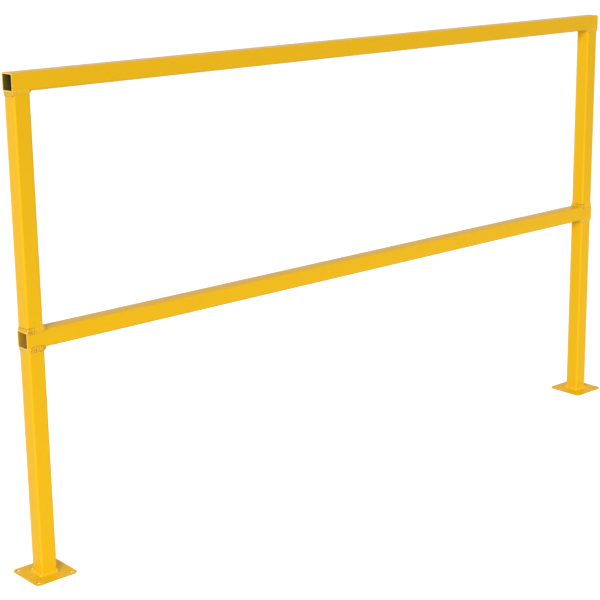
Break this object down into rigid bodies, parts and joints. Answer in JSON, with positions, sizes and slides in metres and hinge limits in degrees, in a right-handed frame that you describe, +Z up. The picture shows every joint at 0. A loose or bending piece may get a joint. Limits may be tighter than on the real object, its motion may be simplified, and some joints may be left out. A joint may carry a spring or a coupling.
{
  "type": "industrial guard rail",
  "caption": "Floor-mounted safety guard rail in welded square steel tube with top and mid rails, posts on bolted base plates, and open rail ends.",
  "frame": {"origin": "on the floor at the centre of the guard rail's base, midway between the posts", "axes": "+X along the rails, +Y across them, +Z up"},
  "size_m": [1.8882, 0.1016, 1.0668],
  "materials": {
    "rail_coat": "glossy safety yellow powder coat",
    "post_coat": "glossy safety yellow powder coat",
    "plate_coat": "glossy safety yellow powder coat",
    "weld_coat": "safety yellow powder coat over rippled weld metal"
  },
  "bodies": {
    "root": {"top_rail": "rail_coat", "mid_rail": "rail_coat", "upper_post_left": "post_coat", "upper_post_right": "post_coat", "lower_post_left": "post_coat", "lower_post_right": "post_coat", "base_plate_left": "plate_coat", "base_plate_right": "plate_coat", "weld_top_left": "weld_coat", "weld_top_right": "weld_coat", "weld_mid_upper_left": "weld_coat", "weld_mid_upper_right": "weld_coat", "weld_mid_lower_left": "weld_coat", "weld_mid_lower_right": "weld_coat", "weld_base_left": "weld_coat", "weld_base_right": "weld_coat"}
  },
  "joints": []
}
